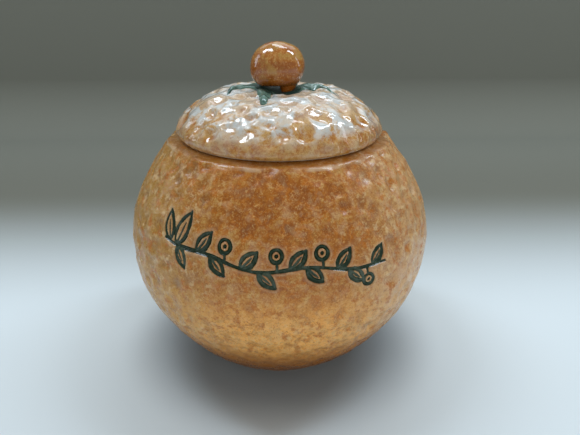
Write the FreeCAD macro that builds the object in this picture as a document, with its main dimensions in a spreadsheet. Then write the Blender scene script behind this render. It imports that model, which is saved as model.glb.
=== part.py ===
import FreeCAD, Part
import math
import os
import Sketcher

# A lidded preserve pot of glazed earthenware, shaped as an orange: a hollow round pot with a foot
# ring and a flat seat at its mouth, a loose domed lid with a locating flange and a shallow hollow in
# its crown, a star-shaped calyx laid in that hollow, and a ball knob that stands in it on a short
# stem. Millimetres. The origin is the centre of the base, +Z is up and +X is to the right of someone
# who faces the decorated side (the -Y side).

Vector = FreeCAD.Vector
START, END, CENTRE = 1, 2, 3     # the points of a sketch element
ORIGIN, X_AXIS, Y_AXIS = -1, -1, -2    # a sketch's own origin (point START) and axes

os.makedirs("parts", exist_ok=True)
doc = FreeCAD.newDocument("preserve_pot")


# ---- Driving dimensions ----

SIZES = {
    # the pot: three tangent arcs make its outside, and its inside lies one wall further in
    "belly_radius": 57.5,
    "belly_height": 50.3,
    "belly_arc": 47.6,
    "belly_band": 20.6,          # the belly arc reaches this far above and below the belly height
    "flank_arc": 72.5,
    "wall": 4.5,
    "foot_recess": 1.6,
    "foot_inner_radius": 21.5,
    "rim_edge_height": 86.8,     # where the shoulder meets the smooth collar round the mouth
    "seat_height": 89.8,
    "seat_outer_radius": 36.4,
    "mouth_radius": 31.5,
    "lip_thickness": 4.4,
    "rim_edge_round": 2.0,
    "mouth_round": 1.0,
    "foot_round": 1.2,
    "floor_round": 6.0,
    # the lid: a hollow round the axis, a crest round the hollow, a crown, a hip and a rolled edge
    "lid_radius": 37.9,
    "crest_height": 106.0,
    "crest_radius": 10.5,        # from the axis to the highest ring of the lid
    "crest_arc": 11.0,
    "hollow_depth": 2.2,
    "crown_arc": 73.0,
    "hip_arc": 26.0,
    "lid_edge_arc": 3.6,
    "lip_radius": 37.1,
    "lip_height": 90.3,
    "lid_contact_radius": 34.4,  # the lid's underside lies on the seat out to here
    "ceiling_height": 99.4,
    "ceiling_round": 6.0,
    "flange_outer_radius": 30.7,
    "flange_inner_radius": 26.9,
    "flange_depth": 4.6,
    "flange_round": 1.2,
    # the calyx, cut from the lid's crown by a star prism between these two levels
    "calyx_thickness": 1.2,
    "star_bottom": 102.0,
    "star_top": 109.0,
    # the knob: a ball, fuller below than above, on a short stem that stands a little to the right
    "knob_radius": 9.8,
    "knob_top": 122.9,
    "knob_equator": 114.2,
    "knob_underside": 107.6,
    "knob_side_arc": 8.2,
    "knob_shift": -0.5,
    "stem_shift": 2.9,
    "stem_foot": 103.0,          # inside the lid, just below the hollow
    "stem_foot_radius": 1.5,
    "stem_top": 109.4,
    "stem_top_radius": 3.6,
}

sheet = doc.addObject("Spreadsheet::Sheet", "dims")
for row, (alias, value) in enumerate(SIZES.items(), start=1):
    sheet.set(f"A{row}", alias)
    sheet.set(f"B{row}", str(value))
    sheet.setAlias(f"B{row}", alias)
doc.recompute()


def size(alias):
    return float(sheet.get(alias))


# ---- Sketch helpers ----

def new_sketch(body, name, role):
    """An empty sketch on one of the body's own origin planes."""
    sketch = body.newObject("Sketcher::SketchObject", name)
    plane = next(f for f in body.Origin.OriginFeatures if f.Role == role)
    sketch.AttachmentSupport = [(plane, "")]
    sketch.MapMode = "FlatFace"
    return sketch


def line(sketch, first, last):
    """A straight stretch of an outline: its index, its first point and its last point."""
    segment = Part.LineSegment(Vector(*first, 0), Vector(*last, 0))
    return sketch.addGeometry(segment, False), START, END


def arc(sketch, centre, first, last, clockwise=False):
    """A round stretch about centre, from the point first to the point last."""
    radius = math.dist(centre, first)
    turns = [math.atan2(p[1] - centre[1], p[0] - centre[0]) for p in (first, last)]
    circle = Part.Circle(Vector(*centre, 0), Vector(0, 0, 1), radius)
    if clockwise:
        return sketch.addGeometry(Part.ArcOfCircle(circle, turns[1], turns[0]), False), END, START
    return sketch.addGeometry(Part.ArcOfCircle(circle, turns[0], turns[1]), False), START, END


def join(sketch, stretches, smooth=()):
    """Closes an outline: each stretch meets the next one, in line where the pair is in smooth."""
    for number, here in enumerate(stretches):
        following = stretches[(number + 1) % len(stretches)]
        kind = "Tangent" if number in smooth else "Coincident"
        sketch.addConstraint(
            Sketcher.Constraint(kind, here[0], here[2], following[0], following[1])
        )


def rule(sketch, kind, *places):
    """A geometric rule with no value."""
    sketch.addConstraint(Sketcher.Constraint(kind, *places))


def bind(sketch, kind, *places, to):
    """A dimension of the sketch, bound to the sheet by an expression."""
    start_value = float(sketch.evalExpression(to))
    index = sketch.addConstraint(Sketcher.Constraint(kind, *places, start_value))
    sketch.setExpression(f"Constraints[{index}]", to)


def across(sketch, element, point, to):
    bind(sketch, "DistanceX", ORIGIN, START, element, point, to=to)


def above(sketch, element, point, to):
    bind(sketch, "DistanceY", ORIGIN, START, element, point, to=to)


def settle(sketch):
    """The sketch is solved and nothing in it is left free."""
    assert sketch.solve() == 0, sketch.Name
    doc.recompute()
    assert sketch.FullyConstrained, sketch.Name


def revolve(body, name, sketch):
    feature = body.newObject("PartDesign::Revolution", name)
    feature.Profile = sketch
    feature.ReferenceAxis = (sketch, ["V_Axis"])
    feature.Angle = 360
    doc.recompute()
    return feature


def ring_edges(shape, radius, height, near=0.05):
    """The names of the circular edges about the Z axis with this radius at this height."""
    names = []
    for number, edge in enumerate(shape.Edges, start=1):
        if edge.Degenerated or not isinstance(edge.Curve, Part.Circle):
            continue
        curve = edge.Curve
        centred = math.hypot(curve.Center.x, curve.Center.y) < near
        if centred and abs(curve.Radius - radius) < near and abs(curve.Center.z - height) < near:
            names.append(f"Edge{number}")
    assert names, (radius, height)
    return names


def round_edges(body, base, name, rings, to):
    """A fillet on the rings of an earlier feature, bound to the sheet."""
    feature = body.newObject("PartDesign::Fillet", name)
    names = []
    for radius, height in rings:
        names.extend(ring_edges(base.Shape, radius, height))
    feature.Base = (base, names)
    feature.setExpression("Radius", to)
    doc.recompute()
    return feature


# ---- The pot ----

pot = doc.addObject("PartDesign::Body", "Pot")
pot.Label = "pot"
section = new_sketch(pot, "PotSection", "XZ_Plane")

belly_centre = (size("belly_radius") - size("belly_arc"), size("belly_height"))
belly_turn = math.asin(size("belly_band") / size("belly_arc"))
flank_gap = size("flank_arc") - size("belly_arc")
flank_centre_x = belly_centre[0] - flank_gap * math.cos(belly_turn)
flank_lift = flank_gap * math.sin(belly_turn)
low_centre = (flank_centre_x, belly_centre[1] + flank_lift)
high_centre = (flank_centre_x, belly_centre[1] - flank_lift)
inner_belly = size("belly_arc") - size("wall")
inner_flank = size("flank_arc") - size("wall")
floor_height = size("foot_recess") + size("wall")
lip_under = size("seat_height") - size("lip_thickness")


def reach(centre, radius, height):
    """The point of a circle to the right of its centre at this height."""
    return centre[0] + math.sqrt(radius**2 - (height - centre[1])**2), height


def belly_end(radius, side):
    return (
        belly_centre[0] + radius * math.cos(belly_turn),
        belly_centre[1] + side * radius * math.sin(belly_turn),
    )


foot_edge = reach(low_centre, size("flank_arc"), 0.0)
rim_edge = reach(high_centre, size("flank_arc"), size("rim_edge_height"))
lip_root = reach(high_centre, inner_flank, lip_under)
floor_edge = reach(low_centre, inner_flank, floor_height)
recess = (size("foot_inner_radius"), size("foot_recess"))
seat_edge = (size("seat_outer_radius"), size("seat_height"))
mouth_top = (size("mouth_radius"), size("seat_height"))
mouth_bottom = (size("mouth_radius"), lip_under)

under = line(section, (0, size("foot_recess")), recess)
foot_side = line(section, recess, (size("foot_inner_radius"), 0))
foot_face = line(section, (size("foot_inner_radius"), 0), foot_edge)
low_flank = arc(section, low_centre, foot_edge, belly_end(size("belly_arc"), -1))
belly = arc(section, belly_centre, belly_end(size("belly_arc"), -1), belly_end(size("belly_arc"), 1))
shoulder = arc(section, high_centre, belly_end(size("belly_arc"), 1), rim_edge)
collar = line(section, rim_edge, seat_edge)
seat = line(section, seat_edge, mouth_top)
mouth = line(section, mouth_top, mouth_bottom)
lip = line(section, mouth_bottom, lip_root)
in_shoulder = arc(section, high_centre, lip_root, belly_end(inner_belly, 1), clockwise=True)
in_belly = arc(
    section, belly_centre, belly_end(inner_belly, 1), belly_end(inner_belly, -1), clockwise=True
)
in_flank = arc(section, low_centre, belly_end(inner_belly, -1), floor_edge, clockwise=True)
floor = line(section, floor_edge, (0, floor_height))
axis = line(section, (0, floor_height), (0, size("foot_recess")))
outline = [
    under, foot_side, foot_face, low_flank, belly, shoulder, collar, seat,
    mouth, lip, in_shoulder, in_belly, in_flank, floor, axis,
]
smooth_after = [outline.index(piece) for piece in (low_flank, belly, in_shoulder, in_belly)]
join(section, outline, smooth_after)

for flat in (under, foot_face, seat, lip, floor):
    rule(section, "Horizontal", flat[0])
for upright in (foot_side, mouth):
    rule(section, "Vertical", upright[0])
rule(section, "PointOnObject", foot_face[0], START, X_AXIS)
rule(section, "PointOnObject", axis[0], START, Y_AXIS)
rule(section, "PointOnObject", axis[0], END, Y_AXIS)
rule(section, "Coincident", in_belly[0], CENTRE, belly[0], CENTRE)
rule(section, "Coincident", in_shoulder[0], CENTRE, shoulder[0], CENTRE)
rule(section, "Coincident", in_flank[0], CENTRE, low_flank[0], CENTRE)

bind(section, "Radius", belly[0], to="dims.belly_arc")
bind(section, "Radius", low_flank[0], to="dims.flank_arc")
bind(section, "Radius", shoulder[0], to="dims.flank_arc")
bind(section, "Radius", in_belly[0], to="dims.belly_arc - dims.wall")
across(section, belly[0], CENTRE, to="dims.belly_radius - dims.belly_arc")
above(section, belly[0], CENTRE, to="dims.belly_height")
above(section, belly[0], END, to="dims.belly_height + dims.belly_band")
above(section, belly[0], START, to="dims.belly_height - dims.belly_band")
across(section, foot_side[0], END, to="dims.foot_inner_radius")
above(section, under[0], START, to="dims.foot_recess")
above(section, shoulder[0], END, to="dims.rim_edge_height")
across(section, seat[0], START, to="dims.seat_outer_radius")
above(section, seat[0], START, to="dims.seat_height")
across(section, mouth[0], START, to="dims.mouth_radius")
above(section, mouth[0], END, to="dims.seat_height - dims.lip_thickness")
above(section, floor[0], START, to="dims.foot_recess + dims.wall")
settle(section)

thrown = revolve(pot, "PotWall", section)
soft_rim = round_edges(pot, thrown, "RimEdgeRound", [rim_edge], "dims.rim_edge_round")
soft_floor = round_edges(pot, soft_rim, "FloorRound", [floor_edge], "dims.floor_round")
soft_foot = round_edges(pot, soft_floor, "FootRound", [foot_edge], "dims.foot_round")
mouth_rings = [mouth_top, mouth_bottom]
round_edges(pot, soft_foot, "MouthRound", mouth_rings, "dims.mouth_round")


# ---- The lid ----

# Its upper side is five tangent arcs. The hollow's arc is centred on the axis and the crest's and the
# crown's on the crest radius, so all three follow from the sizes; the hip touches the crown and the
# rolled edge from inside.
lid = doc.addObject("PartDesign::Body", "Lid")
lid.Label = "lid"
section = new_sketch(lid, "LidSection", "XZ_Plane")


def towards(centre, other, radius):
    """The point at this radius from centre on the line that leads to other."""
    span = math.dist(centre, other)
    return tuple(c + (o - c) / span * radius for c, o in zip(centre, other))


def beyond(centre, other, radius):
    """The point at this radius from centre on the line that leads away from other."""
    return towards(centre, other, -radius)


hollow_floor = (0.0, size("crest_height") - size("hollow_depth"))
crest_top = (size("crest_radius"), size("crest_height"))
crest_centre = (size("crest_radius"), size("crest_height") - size("crest_arc"))
# the hollow's arc and the crest's are one outside the other, and their radii add up to this
both_arcs = (size("crest_radius")**2 + size("hollow_depth")**2) / (2 * size("hollow_depth"))
hollow_centre = (0.0, hollow_floor[1] + both_arcs - size("crest_arc"))
crown_centre = (size("crest_radius"), size("crest_height") - size("crown_arc"))
edge_x = size("lid_radius") - size("lid_edge_arc")
edge_rise = math.sqrt(size("lid_edge_arc")**2 - (size("lip_radius") - edge_x)**2)
edge_centre = (edge_x, size("lip_height") + edge_rise)

to_edge = size("hip_arc") - size("lid_edge_arc")
to_crown = size("crown_arc") - size("hip_arc")
between = math.dist(edge_centre, crown_centre)
lean = math.atan2(edge_centre[1] - crown_centre[1], edge_centre[0] - crown_centre[0])
hip_turn = lean + math.acos((between**2 + to_crown**2 - to_edge**2) / (2 * between * to_crown))
hip_centre = (
    crown_centre[0] + to_crown * math.cos(hip_turn),
    crown_centre[1] + to_crown * math.sin(hip_turn),
)
hollow_end = towards(crest_centre, hollow_centre, size("crest_arc"))
crown_end = beyond(hip_centre, crown_centre, size("hip_arc"))
edge_end = beyond(edge_centre, hip_centre, size("lid_edge_arc"))
lip_point = (size("lip_radius"), size("lip_height"))
flange_foot = size("seat_height") - size("flange_depth")
ceiling_middle = (0.0, size("ceiling_height"))
ceiling_edge = (size("flange_inner_radius"), size("ceiling_height"))
flange_in = (size("flange_inner_radius"), flange_foot)
flange_out = (size("flange_outer_radius"), flange_foot)
flange_root = (size("flange_outer_radius"), size("seat_height"))
contact_edge = (size("lid_contact_radius"), size("seat_height"))

ceiling = line(section, ceiling_middle, ceiling_edge)
flange_inside = line(section, ceiling_edge, flange_in)
flange_face = line(section, flange_in, flange_out)
flange_outside = line(section, flange_out, flange_root)
contact = line(section, flange_root, contact_edge)
under_lip = line(section, contact_edge, lip_point)
rolled = arc(section, edge_centre, lip_point, edge_end)
hip = arc(section, hip_centre, edge_end, crown_end)
crown = arc(section, crown_centre, crown_end, crest_top)
crest = arc(section, crest_centre, crest_top, hollow_end)
hollow = arc(section, hollow_centre, hollow_end, hollow_floor, clockwise=True)
axis = line(section, hollow_floor, ceiling_middle)
outline = [
    ceiling, flange_inside, flange_face, flange_outside, contact, under_lip,
    rolled, hip, crown, crest, hollow, axis,
]
join(section, outline, [outline.index(piece) for piece in (rolled, hip, crown, crest)])

for flat in (ceiling, flange_face, contact):
    rule(section, "Horizontal", flat[0])
for upright in (flange_inside, flange_outside):
    rule(section, "Vertical", upright[0])
rule(section, "PointOnObject", axis[0], START, Y_AXIS)
rule(section, "PointOnObject", axis[0], END, Y_AXIS)
rule(section, "PointOnObject", hollow[0], CENTRE, Y_AXIS)

bind(section, "Radius", crown[0], to="dims.crown_arc")
bind(section, "Radius", hip[0], to="dims.hip_arc")
bind(section, "Radius", rolled[0], to="dims.lid_edge_arc")
bind(section, "Radius", crest[0], to="dims.crest_arc")
across(section, crown[0], CENTRE, to="dims.crest_radius")
above(section, crown[0], CENTRE, to="dims.crest_height - dims.crown_arc")
across(section, crest[0], CENTRE, to="dims.crest_radius")
above(section, axis[0], START, to="dims.crest_height - dims.hollow_depth")
across(section, rolled[0], CENTRE, to="dims.lid_radius - dims.lid_edge_arc")
across(section, rolled[0], START, to="dims.lip_radius")
above(section, rolled[0], START, to="dims.lip_height")
above(section, ceiling[0], START, to="dims.ceiling_height")
across(section, flange_face[0], START, to="dims.flange_inner_radius")
across(section, flange_face[0], END, to="dims.flange_outer_radius")
above(section, flange_face[0], START, to="dims.seat_height - dims.flange_depth")
above(section, contact[0], START, to="dims.seat_height")
across(section, contact[0], END, to="dims.lid_contact_radius")
settle(section)

moulded = revolve(lid, "LidWall", section)
soft_ceiling = round_edges(lid, moulded, "CeilingRound", [ceiling_edge], "dims.ceiling_round")
round_edges(lid, soft_ceiling, "FlangeRound", [flange_in, flange_out], "dims.flange_round")
doc.recompute()


# ---- The knob ----

ball = doc.addObject("PartDesign::Body", "KnobBall")
section = new_sketch(ball, "KnobSection", "XZ_Plane")

low_arc = size("knob_equator") - size("knob_underside")
low_x = size("knob_radius") - low_arc
side_x = size("knob_radius") - size("knob_side_arc")
rise = size("knob_top") - size("knob_equator")
# the top arc's radius, from its tangency with the side arc
top_arc = (side_x**2 + rise**2 - size("knob_side_arc")**2) / (2 * (rise - size("knob_side_arc")))
equator = (size("knob_radius"), size("knob_equator"))
side_centre = (side_x, size("knob_equator"))
top_centre = (0.0, size("knob_top") - top_arc)
side_end = beyond(side_centre, top_centre, size("knob_side_arc"))
under_edge = (low_x, size("knob_underside"))
knob_peak = (0.0, size("knob_top"))
knob_foot = (0.0, size("knob_underside"))

underside = line(section, knob_foot, under_edge)
low_side = arc(section, (low_x, size("knob_equator")), under_edge, equator)
side = arc(section, side_centre, equator, side_end)
top = arc(section, top_centre, side_end, knob_peak)
axis = line(section, knob_peak, knob_foot)
outline = [underside, low_side, side, top, axis]
join(section, outline, [outline.index(side)])     # the low side meets the side level, at the equator

rule(section, "Horizontal", underside[0])
rule(section, "PointOnObject", axis[0], START, Y_AXIS)
rule(section, "PointOnObject", axis[0], END, Y_AXIS)
rule(section, "PointOnObject", top[0], CENTRE, Y_AXIS)
bind(section, "Radius", side[0], to="dims.knob_side_arc")
across(section, side[0], CENTRE, to="dims.knob_radius - dims.knob_side_arc")
above(section, side[0], CENTRE, to="dims.knob_equator")
above(section, side[0], START, to="dims.knob_equator")
above(section, low_side[0], CENTRE, to="dims.knob_equator")
above(section, axis[0], START, to="dims.knob_top")
above(section, axis[0], END, to="dims.knob_underside")
across(section, underside[0], END, to="dims.knob_radius - dims.knob_equator + dims.knob_underside")
settle(section)
revolve(ball, "KnobRound", section)
ball.setExpression("Placement.Base.x", "dims.knob_shift")


def combine(kind, name, base, tool):
    thing = doc.addObject(kind, name)
    thing.Base = base
    thing.Tool = tool
    return thing


stem = doc.addObject("Part::Cone", "KnobStem")
stem.setExpression("Radius1", "dims.stem_foot_radius")
stem.setExpression("Radius2", "dims.stem_top_radius")
stem.setExpression("Height", "dims.stem_top - dims.stem_foot")
stem.setExpression("Placement.Base.x", "dims.stem_shift")
stem.setExpression("Placement.Base.z", "dims.stem_foot")
ball_and_stem = combine("Part::Fuse", "KnobBallAndStem", ball, stem)
knob = combine("Part::Cut", "Knob", ball_and_stem, lid)
knob.Label = "knob"


# ---- The calyx ----

# A thin star of clay laid on the lid's crown. Its plan is a star prism; its underside is the lid's
# own upper side, its upper side is the same surface one thickness higher, and the stem passes
# through it. Directions are in degrees from +X, anticlockwise seen from above.
LOBES = [
    # valley before the lobe: direction, radius; tip: direction, reach; bow of the lobe's two sides
    {"valley": (-50.0, 6.5), "tip": (-16.0, 22.2), "bows": (-5.4, 4.6)},
    {"valley": (32.0, 8.5), "tip": (62.0, 18.5), "bows": (1.4, 0.8)},
    {"valley": (93.0, 8.5), "tip": (120.0, 18.5), "bows": (0.8, 1.4)},
    {"valley": (146.0, 9.5), "tip": (203.0, 20.0), "bows": (4.2, -3.0)},
    {"valley": (190.0, 8.4), "tip": (254.0, 20.0), "bows": (0.9, -2.6)},
]


def polar(direction, reach):
    turn = math.radians(direction)
    return Vector(reach * math.cos(turn), reach * math.sin(turn), 0)


def bowed_side(first, last, bow):
    """An arc from first to last whose middle stands out by bow to the right of the way along it."""
    chord = last - first
    outward = Vector(chord.y, -chord.x, 0).normalize()
    return Part.Arc(first, (first + last) * 0.5 + outward * bow, last).toShape()


sides = []
for number, lobe in enumerate(LOBES):
    following = LOBES[(number + 1) % len(LOBES)]
    tip = polar(*lobe["tip"])
    sides.append(bowed_side(polar(*lobe["valley"]), tip, lobe["bows"][0]))
    sides.append(bowed_side(tip, polar(*following["valley"]), lobe["bows"][1]))

star = doc.addObject("Part::Feature", "CalyxPlan")
star.Shape = Part.Face(Part.Wire(sides))
star.setExpression("Placement.Base.z", "dims.star_bottom")

prism = doc.addObject("Part::Extrusion", "CalyxPrism")
prism.Base = star
prism.DirMode = "Custom"
prism.Dir = Vector(0, 0, 1)
prism.setExpression("LengthFwd", "dims.star_top - dims.star_bottom")
prism.Solid = True

doc.recompute()
raised_lid = doc.addObject("Part::Feature", "RaisedLid")
raised_lid.Shape = lid.Shape.copy()
raised_lid.setExpression("Placement.Base.z", "dims.calyx_thickness")
slab = combine("Part::Common", "CalyxSlab", prism, raised_lid)
laid = combine("Part::Cut", "CalyxLaid", slab, lid)
calyx = combine("Part::Cut", "Calyx", laid, knob)
calyx.Label = "calyx"
doc.recompute()


# ---- Checks and files ----

for thing in doc.Objects:
    faults = {"Invalid", "Error"} & set(thing.State)
    assert not faults, (thing.Name, thing.State)

for node in [pot, lid, calyx, knob]:
    shape = node.Shape
    assert not shape.isNull() and shape.isValid(), node.Label
    assert len(shape.Solids) == 1, (node.Label, len(shape.Solids))
    shape.exportStep(f"parts/{node.Label}.step")
    box = shape.optimalBoundingBox(False)
    print(
        f"{node.Label:8s} {shape.Volume:10.1f} mm3"
        f"  x {box.XMin:.1f} {box.XMax:.1f}  y {box.YMin:.1f} {box.YMax:.1f}"
        f"  z {box.ZMin:.1f} {box.ZMax:.1f}"
    )
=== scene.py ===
import bmesh
import bpy
import math
import numpy as np
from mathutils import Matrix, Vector
from mathutils.bvhtree import BVHTree


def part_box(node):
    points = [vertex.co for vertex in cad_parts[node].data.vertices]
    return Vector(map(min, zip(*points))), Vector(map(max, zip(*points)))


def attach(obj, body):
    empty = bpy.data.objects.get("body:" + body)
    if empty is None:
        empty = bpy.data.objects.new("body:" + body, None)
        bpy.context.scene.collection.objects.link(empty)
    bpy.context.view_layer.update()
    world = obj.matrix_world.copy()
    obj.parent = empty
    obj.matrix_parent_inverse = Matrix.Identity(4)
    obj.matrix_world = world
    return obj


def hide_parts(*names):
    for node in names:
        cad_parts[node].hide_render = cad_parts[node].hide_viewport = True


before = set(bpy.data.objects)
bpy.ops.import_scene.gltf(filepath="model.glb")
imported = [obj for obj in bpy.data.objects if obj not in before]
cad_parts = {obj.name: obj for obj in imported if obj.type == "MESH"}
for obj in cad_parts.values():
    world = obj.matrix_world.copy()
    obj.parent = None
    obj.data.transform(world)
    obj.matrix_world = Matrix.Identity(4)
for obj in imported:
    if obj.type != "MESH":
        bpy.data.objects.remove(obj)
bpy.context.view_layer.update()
mm = 0.001


# ---- Studio ----
# A pale tabletop of paper that turns up into a warm grey backdrop; its colour darkens backwards as
# painted shade and under the pot as a painted contact shadow. Window-like soft boxes hang above and
# behind it, with a strip at each side, and a broad low fill lights its front.

SWEEP_WIDTH = 2.6
SWEEP_FRONT = -1.2
SWEEP_BACK = 0.30
SWEEP_RADIUS = 0.05
SWEEP_WALL = 0.30
# A painted contact shadow: the paper's colour darkens under the pot.
SHADE_INNER, SHADE_OUTER = 0.040, 0.070      # the paper darkens under the pot between these radii
SHADE_TONE = 0.48

sweep_mesh = bpy.data.meshes.new("sweep")
sweep = bpy.data.objects.new("sweep", sweep_mesh)
bpy.context.collection.objects.link(sweep)
bm = bmesh.new()
bmesh.ops.create_grid(bm, x_segments=1, y_segments=1, size=SWEEP_WIDTH / 2)
for vert in bm.verts:
    vert.co.y = SWEEP_BACK if vert.co.y > 0 else SWEEP_FRONT
back_edge = [e for e in bm.edges if all(v.co.y > 0 for v in e.verts)]
turn_up = bmesh.ops.spin(
    bm, geom=back_edge, cent=(0, SWEEP_BACK, SWEEP_RADIUS), axis=(1, 0, 0),
    angle=math.radians(88), steps=24, use_merge=False,
)
last_edge = [item for item in turn_up["geom_last"] if isinstance(item, bmesh.types.BMEdge)]
wall = bmesh.ops.extrude_edge_only(bm, edges=last_edge)
for item in wall["geom"]:
    if isinstance(item, bmesh.types.BMVert):
        item.co.z += SWEEP_WALL
bmesh.ops.recalc_face_normals(bm, faces=bm.faces)
if min(bm.faces, key=lambda f: f.calc_center_median().z).normal.z < 0:
    bmesh.ops.reverse_faces(bm, faces=bm.faces)
for face in bm.faces:
    face.smooth = True
bm.to_mesh(sweep_mesh)
bm.free()

paper = bpy.data.materials.new("studio_paper")
paper.use_nodes = True
tree = paper.node_tree
shader = tree.nodes["Principled BSDF"]
shader.inputs["Roughness"].default_value = 0.95
shader.inputs["Specular IOR Level"].default_value = 0.05
place = tree.nodes.new("ShaderNodeTexCoord")
split = tree.nodes.new("ShaderNodeSeparateXYZ")
tree.links.new(place.outputs["Object"], split.inputs["Vector"])
backwards = tree.nodes.new("ShaderNodeMapRange")
backwards.inputs["From Min"].default_value = 0.0
backwards.inputs["From Max"].default_value = SWEEP_BACK
tree.links.new(split.outputs["Y"], backwards.inputs["Value"])
# Backwards the paper darkens as painted shade, darkest short of the backdrop, which keeps a plain
# warm grey.
tone = tree.nodes.new("ShaderNodeValToRGB")
tone.color_ramp.interpolation = "EASE"
tone.color_ramp.elements[0].color = (0.62, 0.68, 0.70, 1)
tone.color_ramp.elements[1].color = (0.185, 0.190, 0.160, 1)
tone.color_ramp.elements.new(0.56).color = (0.155, 0.157, 0.130, 1)
tree.links.new(backwards.outputs["Result"], tone.inputs["Fac"])
outwards = tree.nodes.new("ShaderNodeVectorMath")
outwards.operation = "LENGTH"
tree.links.new(place.outputs["Object"], outwards.inputs[0])
# painted contact shadow under the pot
contact_shadow = tree.nodes.new("ShaderNodeMapRange")
contact_shadow.interpolation_type = "SMOOTHSTEP"
contact_shadow.inputs["From Min"].default_value = SHADE_INNER
contact_shadow.inputs["From Max"].default_value = SHADE_OUTER
contact_shadow.inputs["To Min"].default_value = SHADE_TONE
contact_shadow.inputs["To Max"].default_value = 1.0
tree.links.new(outwards.outputs["Value"], contact_shadow.inputs["Value"])
shaded = tree.nodes.new("ShaderNodeVectorMath")
shaded.operation = "SCALE"
tree.links.new(tone.outputs["Color"], shaded.inputs[0])
tree.links.new(contact_shadow.outputs["Result"], shaded.inputs["Scale"])
tree.links.new(shaded.outputs["Vector"], shader.inputs["Base Color"])
sweep_mesh.materials.append(paper)

pot_middle = Vector((0, 0, 0.06))
WARM_WHITE = (1.0, 0.985, 0.96)
COOL_WHITE = (0.84, 0.92, 1.0)
SKY_WHITE = (0.75, 0.87, 1.0)


def soft_box(name, position, width, depth, radiance, colour, in_reflections=True):
    """A rectangular lamp that faces the pot; its face is radiance times as bright as white."""
    lamp = bpy.data.lights.new(name, "AREA")
    lamp.shape = "RECTANGLE"
    lamp.size = width
    lamp.size_y = depth
    lamp.color = colour
    lamp.energy = radiance * math.pi * width * depth
    box = bpy.data.objects.new(name, lamp)
    box.location = position
    box.rotation_euler = (pot_middle - Vector(position)).to_track_quat("-Z", "Y").to_euler()
    box.visible_glossy = in_reflections
    bpy.context.collection.objects.link(box)


soft_box("overhead_panel", (0.0, 0.40, 0.95), 1.2, 0.6, 1.35, WARM_WHITE, in_reflections=False)
soft_box("rear_panel", (0.0, 0.85, 0.85), 1.3, 0.36, 0.9, COOL_WHITE)
soft_box("left_window", (-0.38, 0.15, 0.80), 0.13, 0.38, 15.5, SKY_WHITE)
soft_box("right_window", (0.48, 0.17, 0.76), 0.13, 0.48, 15.5, SKY_WHITE)
soft_box("back_window", (0.08, 0.44, 0.82), 0.34, 0.12, 6.0, SKY_WHITE)
soft_box("left_strip", (-0.75, 0.22, 0.32), 0.07, 0.45, 3.0, COOL_WHITE)
soft_box("right_strip", (0.80, 0.27, 0.28), 0.08, 0.45, 2.4, COOL_WHITE)
soft_box("front_fill", (0.15, -0.95, 0.36), 1.3, 0.50, 1.60, WARM_WHITE, in_reflections=False)

world = bpy.data.worlds.new("room")
world.use_nodes = True
world.node_tree.nodes["Background"].inputs["Color"].default_value = (0.98, 1.0, 1.0, 1)
world.node_tree.nodes["Background"].inputs["Strength"].default_value = 0.34
bpy.context.scene.world = world

camera_data = bpy.data.cameras.new("camera")
camera_data.sensor_width = 36.0
camera_data.lens = 34.76
camera_data.clip_start = 0.01
camera = bpy.data.objects.new("camera", camera_data)
camera.location = (0.0, -0.2066, 0.1461)
yaw, pitch = math.radians(1.10), math.radians(-23.93)
look = Vector((math.sin(yaw) * math.cos(pitch), math.cos(yaw) * math.cos(pitch), math.sin(pitch)))
camera.rotation_euler = look.to_track_quat("-Z", "Y").to_euler()
bpy.context.collection.objects.link(camera)
bpy.context.scene.camera = camera
bpy.context.scene.view_settings.view_transform = "Standard"


# ---- Pot ----
# The body of the pot is slip-cast earthenware, beaten all over with a small round tool so that it
# dimples like orange peel. A leafy sprig is cut into its front and filled with green under the
# clear glaze. The foot ring is wiped bare, and the inside is glazed cream.

BELLY_RADIUS = 57.5 * mm
BELLY_HEIGHT = 50.3 * mm
BELLY_ARC = 47.6 * mm
BELLY_BAND = 20.6 * mm
FLANK_ARC = 72.5 * mm
WALL = 4.5 * mm
FOOT_RECESS = 1.6 * mm
FOOT_INNER = 21.5 * mm
RIM_EDGE_HEIGHT = 88.9 * mm
SEAT_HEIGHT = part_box("pot")[1][2]
SEAT_OUTER = 36.4 * mm
MOUTH_RADIUS = 31.5 * mm
LIP_THICKNESS = 4.4 * mm
OUTER_STEP = 0.95 * mm
INNER_STEP = 4.0 * mm
POT_COLUMNS = 380
SAME_PLACE = 0.05 * mm
LID_OPENING = 38 * mm


def arc_point(centre, radius, turn):
    return (centre[0] + radius * math.cos(turn), centre[1] + radius * math.sin(turn))


def arc_path(centre, radius, start, end, step):
    """Points (r, z) along an arc from the angle start to the angle end, about one step apart."""
    count = max(2, round(abs(end - start) * radius / step))
    turns = [start + (end - start) * i / count for i in range(count + 1)]
    return [arc_point(centre, radius, turn) for turn in turns]


def straight_path(first, last, step):
    """Points (r, z) along a straight stretch, about one step apart."""
    count = max(1, round(math.dist(first, last) / step))
    return [
        tuple(a + (b - a) * i / count for a, b in zip(first, last)) for i in range(count + 1)
    ]


def turned_shape(stretches, columns):
    """Spins a profile that runs from the axis and back to it into a closed shape.

    Each stretch is (points, skin): skin is 1 where the clay is beaten and 0 where it is smooth, and
    it stays on the mesh as an attribute."""
    bm = bmesh.new()
    skin_layer = bm.verts.layers.float.new("skin")
    chain = []
    for points, skin in stretches:
        for radius, height in points:
            if chain and math.dist((chain[-1].co.x, chain[-1].co.z), (radius, height)) < SAME_PLACE:
                continue
            vert = bm.verts.new((radius, 0.0, height))
            vert[skin_layer] = skin
            chain.append(vert)
    edges = [bm.edges.new(pair) for pair in zip(chain, chain[1:])]
    bmesh.ops.spin(
        bm, geom=chain + edges, cent=(0, 0, 0), axis=(0, 0, 1), angle=math.tau,
        steps=columns, use_merge=True,
    )
    bmesh.ops.remove_doubles(bm, verts=bm.verts, dist=0.01 * mm)
    bmesh.ops.recalc_face_normals(bm, faces=bm.faces)
    for face in bm.faces:
        face.smooth = True
    return bm, skin_layer


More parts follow.
